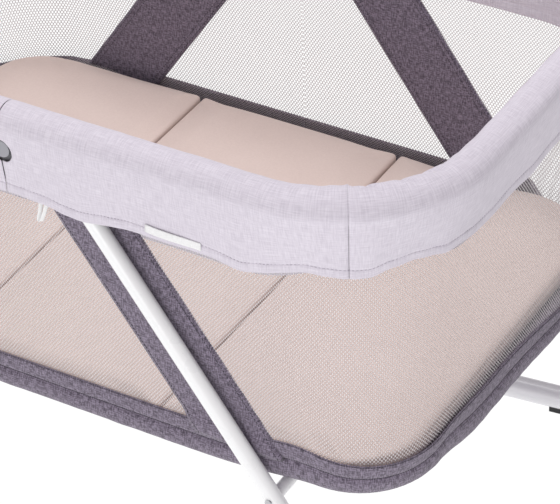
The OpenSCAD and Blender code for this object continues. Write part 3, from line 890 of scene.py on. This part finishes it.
def panel_blank(x0, x1, r0, r1):
    """A rounded slab, a little smaller than the panel, ready to swell."""
    shape = bmesh.new()
    corners = [
        shape.verts.new((x, y, cushion_z))
        for x, y in (
            (x0 + panel_shy, panel_shy - pad_y), (x1 - panel_shy, panel_shy - pad_y),
            (x1 - panel_shy, pad_y - panel_shy), (x0 + panel_shy, pad_y - panel_shy),
        )
    ]
    shape.faces.new(corners)
    for ends, radius in ((corners[0::3], r0), (corners[1:3], r1)):
        round_off(shape, ends, radius, "VERTICES", 10)
    raised = bmesh.ops.extrude_face_region(shape, geom=shape.faces[:])["geom"]
    top = only(raised, bmesh.types.BMVert)
    bmesh.ops.translate(shape, verts=top, vec=(0, 0, pad_edge_z - cushion_z - crown_room))
    point_faces(shape)
    rims = [
        edge for edge in shape.edges
        if abs(edge.verts[0].co.z - edge.verts[1].co.z) < 1e-5
        and min(abs(edge.verts[0].co.x), abs(edge.verts[1].co.x)) > fold_x + 0.01
    ]
    round_off(shape, rims, rim_round, "EDGES", 2)
    return shape


def crowned(place, x0, x1):
    """Lifts the top of a panel from its edges to its crown; the far right corner rides up on the net."""
    inset = min(place.x - x0, x1 - place.x, pad_y - abs(place.y))
    lift = 1 - math.exp(-max(0, inset - 0.001) / crown_fade)
    top = clamp((place.z - cushion_z - 0.012) / 0.010)
    ride_up = far_ride_up * ease((place.x - 0.27) / 0.12) * ease((place.y - 0.17) / 0.10)
    return ((pad_crown_z - pad_edge_z + crown_room) * lift + ride_up) * top


def swell(piece):
    """Blows the cover up over its foam in a short cloth run; sides and folds stay, and moves are capped."""
    held = piece.vertex_groups.new(name="held")
    sewn = [
        corner.index for corner in piece.data.vertices
        if corner.co.z < cushion_z + side_held or abs(abs(corner.co.x) - fold_x) < fold_held
    ]
    held.add(sewn, 1.0, "REPLACE")
    start = [corner.co.copy() for corner in piece.data.vertices]
    cloth = piece.modifiers.new("swell", "CLOTH")
    settings = cloth.settings
    settings.use_pressure = True
    settings.uniform_pressure_force = 4
    settings.mass, settings.quality = 0.3, 4
    settings.tension_stiffness = settings.compression_stiffness = 20
    settings.effector_weights.gravity = 0
    settings.vertex_group_mass = "held"
    cloth.point_cache.frame_start, cloth.point_cache.frame_end = 1, swell_steps
    for step in range(1, swell_steps + 1):
        bpy.context.scene.frame_set(step)
    result = piece.evaluated_get(bpy.context.evaluated_depsgraph_get())
    moved = [corner.co.copy() for corner in result.data.vertices]
    piece.modifiers.remove(cloth)
    for corner, first, last in zip(piece.data.vertices, start, moved):
        shift = last - first
        if shift.length > swell_cap:
            shift *= swell_cap / shift.length
        corner.co = first + shift
    bpy.context.scene.frame_set(1)


for name, x0, x1, r0, r1 in (
    ("left", -pad_end, -fold_x - panel_gap, end_r, fold_r),
    ("middle", -fold_x + panel_gap, fold_x - panel_gap, fold_r, fold_r),
    ("right", fold_x + panel_gap, pad_end, fold_r, end_r),
):
    panel = put_piece(f"pad_panel_{name}", panel_blank(x0, x1, r0, r1), cover_finish)
    remesh = panel.modifiers.new("skin", "REMESH")
    remesh.mode, remesh.voxel_size = "VOXEL", skin_voxel
    skinned = bpy.data.meshes.new_from_object(panel.evaluated_get(bpy.context.evaluated_depsgraph_get()))
    panel.modifiers.clear()
    panel.data = skinned
    for corner in panel.data.vertices:
        corner.co.z += crowned(corner.co, x0, x1)
    swell(panel)
    for corner in panel.data.vertices:
        corner.co.x = max(x0 + 0.0004, min(x1 - 0.0004, corner.co.x))
        corner.co.y = max(-pad_y, min(pad_y, corner.co.y))
        corner.co.z = max(cushion_z, corner.co.z)
    panel.data.shade_smooth()
    panel.data.materials.clear()
    panel.data.materials.append(cover_finish)
    soften(panel)
    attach(panel, f"pad_{name}")
    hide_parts(f"pad_{name}")


# The sleeve: pale heathered cloth with thin wadding, drawn over the foam and hemmed on both skirts.
# Two halves meet at the hubs, where an eyelet leaves the release button free. The outer skirt stands
# off over the hub and leg, and hangs in closer at the ends.
corner_seams, bend_middles = (0.4325, 1.1195), (0.4725, 1.0795)
# The corner seams get a painted shade line in the cloth's colour, for the shade in their creases.
sleeve_cloth = heathered(
    "sleeve_cloth", (0.60, 0.555, 0.63), (0.76, 0.715, 0.79), low=0.72, high=1.28,
    slub=(0.0014, 0.020), sheen=0.15, weave_depth=0.0002, seams=corner_seams, seam_top=0.215,
)
pale_thread = sewing_thread("pale_thread", (0.36, 0.33, 0.38), (0.52, 0.48, 0.55))
roll_r, skirt_in = 0.0230, -0.0211
inner_hem, hem_strip = -0.129, 0.014
skirt_drop, skirt_l, hem_share, eyelet_r = 0.101, 0.1015, 0.862, 0.0165
hub_slack_from, hub_slack_to = 0.006, 0.078
skirt_ripple, skirt_crease, hem_fold, hem_groove = 0.0022, 0.0008, 0.0007, 0.0011
roll_ripple, roll_crease, gather_depth, corner_swell = 0.0006, 0.0010, 0.0042, 0.0025
inner_ripple, inner_wave, inner_ridge = 0.0012, 0.002, 0.0008
hitch_least, hitch_more, hitch_run = 0.004, 0.029, 0.465
seam_groove, seam_groove_w = 0.0024, 0.0014
# Where the outer hem hangs: run from the near hub, outward from the rim's line, height
hem_marks = [
    (0, 0.0128, 0.655), (0.057, 0.0128, 0.653), (0.077, 0.014, 0.6485), (0.102, 0.0148, 0.6465),
    (0.134, 0.0135, 0.651), (0.168, 0.0128, 0.6555), (0.232, 0.0128, 0.655), (0.27, 0.0125, 0.654),
    (0.312, 0.012, 0.647), (0.333, 0.0085, 0.6515), (0.363, 0.004, 0.658), (0.384, 0.002, 0.6615),
    (0.404, 0.0004, 0.657), (0.432, 0, 0.654), (0.453, 0, 0.654), (0.481, 0, 0.662), (0.506, 0, 0.665),
    (0.527, 0, 0.662), (0.553, 0, 0.657), (0.57, 0, 0.657), (0.622, 0, 0.649), (0.69, 0, 0.648),
    (0.746, 0, 0.646), (0.8, 0, 0.649), (0.88, 0.001, 0.647), (0.96, 0, 0.654), (1.06, 0, 0.655),
    (1.13, 0.002, 0.658), (1.19, 0.008, 0.651), (1.24, 0.0125, 0.648), (1.32, 0.0128, 0.652),
    (1.4, 0.0132, 0.649), (1.45, 0.0148, 0.644), (1.5, 0.0128, 0.648), (1.56, 0.0128, 0.649),
]
# Puckers on top of the roll in the bends: run from the nearer hub, depth
puckers = ((0.446, 0.0056), (0.462, 0.0036), (0.503, 0.0050), (0.542, 0.0058), (0.572, 0.0042))
pucker_slant, pucker_w = 0.022, 0.0027


def hem_at(run):
    """The outer hem at a run: how far out from the rim's line it hangs, and how high."""
    for (run0, out0, z0), (run1, out1, z1) in zip(hem_marks, hem_marks[1:]):
        if run <= run1:
            t = ease((run - run0) / (run1 - run0))
            return out0 + (out1 - out0) * t, z0 + (z1 - z0) * t
    return hem_marks[-1][1:]


def skirt_at(run, share, phase):
    """The outer skirt's place at a share of its drop: outward from the rim's line, and up from it."""
    hem_out, hem_z = hem_at(run)
    ripple = waver(run * 17, (roll_end + skirt_l * share) * 9, 2.0 + phase)
    fall = 0.45 * share + 0.55 * ease(share)
    return roll_r + (hem_out - roll_r) * fall + skirt_ripple * ripple * share, (hem_z - rim_z) * share


def sleeve_runs():
    """Where the sleeve's rows lie: closer together by the hubs, in the bends and at the seams."""
    marks = (0.0004, 0.040, 0.400, 0.600)
    runs = [marks[0]]
    for start, stop, pitch in zip(marks, marks[1:], (0.004, 0.0115, 0.0042)):
        runs += even_runs(start, stop, pitch)[1:]
    back = [rim_length - run for run in runs[-2::-1]]
    runs += even_runs(marks[3], rim_length - marks[3], 0.0115)[1:] + back
    for seam in corner_seams:
        runs = [run for run in runs if abs(run - seam) > 0.0055]
        runs += [seam - 0.004, seam - 0.0012, seam, seam + 0.0012, seam + 0.004]
    return sorted(runs)


def roll_radius(run, angle, ripple, fine_ripple, phase):
    """The roll's radius at an angle up from its outer side: gathered and puckered in the rim's bends."""
    bent = ease(1.15 - min(abs(run - mark) for mark in bend_middles) / 0.20)
    radius = roll_r * squeezed(run, math.cos(angle), math.sin(angle))
    radius += roll_ripple * ripple + roll_crease * fine_ripple * (0.3 + bent)
    radius += corner_swell * bell((run - corner_seams[0]) / 0.07)
    gather = waver(run * 70 + 1.2 * angle, angle * 0.7, 11.0 + phase)
    radius += gather_depth * min(gather, 0.12) * ease(0.75 - math.cos(angle)) * (0.25 + bent)
    for mark, depth in puckers:
        off = (min(run, rim_length - run) - mark + pucker_slant * (angle - 1.83)) / pucker_w
        radius -= depth * (bell(off) - 0.45 * bell(off - 1.9)) * bell((angle - 1.85) / 0.55)
    return radius


# The section as drawn flat: up the inner skirt, over the roll, and down the outer skirt
inner_rows = (0, 3, 7, 11, 13.5, 14.5, 18, 26, 36, 48, 62, 76, 90, 102)
outer_shares = (
    0.05, 0.10, 0.16, 0.23, 0.31, 0.39, 0.47, 0.55, 0.63, 0.71, 0.78, 0.83, 0.852, 0.862, 0.872, 0.90,
    0.94, 0.975, 1.0,
)
sleeve_outline = [(skirt_in, inner_hem + 0.001 * row) for row in inner_rows]
sleeve_outline += [(-0.0219, -0.018), (-0.0228, -0.009)]
inner_count = len(sleeve_outline)
sleeve_outline += ring_points(roll_r, range(180, -1, -10))
sleeve_outline += [(roll_r - 0.0102 * share, -skirt_drop * share) for share in outer_shares]
roll_start = sum(
    (Vector(second) - Vector(first)).length
    for first, second in zip(sleeve_outline[:inner_count], sleeve_outline[1:])
)
roll_end = roll_start + math.pi * roll_r
for side, mirror in halves:
    phase = 0 if side == "right" else 40
    shape = bmesh.new()
    runs = sleeve_runs()
    chain(shape, rim_path, runs[0], sleeve_outline)
    sweep(shape, rim_path, runs)
    run_layer, girth_layer = cloth_layers(shape)
    for corner in shape.verts:
        run, girth = corner[run_layer], corner[girth_layer]
        stand = rim_path(run)
        out, up = -(stand.inverted() @ corner.co).y, corner.co.z - rim_z
        ripple = waver(run * 17, girth * 9, 2.0 + phase)
        fine_ripple = waver(run * 52, girth * 22, 7.0 + phase)
        if girth > roll_end:
            share = min(1, (girth - roll_end) / skirt_l)
            out, up = skirt_at(run, share, phase)
            out += skirt_crease * fine_ripple * share
            past_hem = share - hem_share
            out += hem_fold * ease(past_hem / 0.02) - hem_groove * bell(past_hem / 0.008)
        elif girth > roll_start:
            angle = math.pi - (girth - roll_start) / roll_r
            radius = roll_radius(run, angle, ripple, fine_ripple, phase)
            out, up = radius * math.cos(angle), radius * math.sin(angle)
        else:
            low = clamp(up / inner_hem)
            hitch = hitch_least + hitch_more * ease(1.4 - abs(run - hitch_run) / 0.12)
            up += (hitch if run < 0.9 else 0) * ease((-up - 0.024) / 0.105)
            out -= max(0, inner_ripple * ripple * low)
            up += inner_wave * waver(run * 8, 1.5, phase) * low
            out += inner_ridge * bell((girth - hem_strip) / 0.0009)
        if girth > roll_start + 0.02:
            out -= seam_groove * bell(min(abs(run - seam) for seam in corner_seams) / seam_groove_w)
        corner.co = stand @ Vector((0, -out, up))
    eyelet = []
    for face in shape.faces:
        middle = face.calc_center_median()
        if abs(middle.y) > frame_y and math.hypot(middle.x, middle.z - button_z) < eyelet_r:
            eyelet.append(face)
    bmesh.ops.delete(shape, geom=eyelet, context="FACES")
    for corner in shape.verts:
        away = math.hypot(corner.co.x, corner.co.z - button_z)
        if corner.is_boundary and abs(corner.co.y) > frame_y and 0.006 < away < 0.026 and corner.co.x > 0.001:
            corner.co.x *= eyelet_r / away
            corner.co.z = button_z + (corner.co.z - button_z) * eyelet_r / away
    lay_cloth(shape)
    point_faces(shape, lambda face: face.normal.z)
    to_side(shape, mirror)
    sleeve = put_piece(f"rim_sleeve_{side}", shape, sleeve_cloth)
    thicken(sleeve, 0.0018)
    soften(sleeve)
    line = []
    for run in even_runs(0.020, rim_length - 0.020, 0.006):
        out, up = skirt_at(run, hem_share, phase)
        line.append(seam_place(rim_path(run), out + 0.0002, up, mirror))
    stitches = sew(f"hem_stitches_{side}", [line], pale_thread)
    for piece in (sleeve, stitches):
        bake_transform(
            piece, "basket", f"rim_{side}", (hub_slack_from * mirror, 0, 0), (hub_slack_to * mirror, 0, 0)
        )
    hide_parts(f"sleeve_{side}")


# The tag on the hem and the tape loop beneath it: narrow woven white tape, sewn in at one edge.
# The tag is plain and lies against the skirt; the loop hangs in a narrow fold.
tape_finish = heathered(
    "white_tape", (0.80, 0.80, 0.80), (0.90, 0.90, 0.90), low=0.8, high=1.2,
    slub=(0.0006, 0.006), sheen=0.1, weave_depth=0.0001,
)
tag_left, tag_right, tag_low, tag_h, tag_slope = 0.190, 0.262, 0.6645, 0.0100, -0.004
shape = bmesh.new()
bmesh.ops.create_grid(shape, x_segments=24, y_segments=6, size=0.5)
run_layer, girth_layer = cloth_layers(shape)
for corner in shape.verts:
    along, up = corner.co.x + 0.5, corner.co.y + 0.5
    x = tag_left + (tag_right - tag_left) * along
    z = tag_low + tag_slope * along + tag_h * up
    share = (rim_z - z) / (rim_z - hem_at(x)[1])
    lip = 0.0022 + 0.0016 * (1 - up) + 0.0006 * math.sin(along * 5)
    corner.co = Vector((x, -frame_y - skirt_at(x, share, 0)[0] - lip, z))
    corner[run_layer], corner[girth_layer] = x, z
lay_cloth(shape)
point_faces(shape, lambda face: -face.normal.y)
tag = put_piece("plain_hem_tag", shape, tape_finish)
thicken(tag, 0.0007)
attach(tag, "rim_right")
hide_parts("hem_tag")

tape_w, tape_y, tape_turn = 0.0055, -0.3495, (0.8, 0.6)
loop_line = [
    (0.040, 0.662), (0.039, 0.651), (0.037, 0.639), (0.0345, 0.629), (0.033, 0.6235), (0.0335, 0.6205),
    (0.0355, 0.6200), (0.0375, 0.623), (0.041, 0.632), (0.0445, 0.642), (0.047, 0.652), (0.048, 0.662),
]


def loop_stand(run):
    """Where the tape loop is drawn: its points run along X, at one edge of the tape."""
    return Matrix.Translation((run, tape_y + tape_w / 2, 0)) @ Matrix.Rotation(math.pi / 2, 4, "Z")


shape = bmesh.new()
chain(shape, loop_stand, 0, loop_line)
run_layer, _ = cloth_layers(shape)
grown = bmesh.ops.extrude_edge_only(shape, edges=shape.edges[:])["geom"]
other = only(grown, bmesh.types.BMVert)
bmesh.ops.translate(shape, verts=other, vec=(*(share * tape_w for share in tape_turn), 0))
for corner in other:
    corner[run_layer] = tape_w
lay_cloth(shape)
point_faces(shape)
loop = put_piece("hanging_tape_loop", shape, tape_finish)
thicken(loop, 0.0009)
soften(loop, 2)
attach(loop, "basket")
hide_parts("tape_loop")
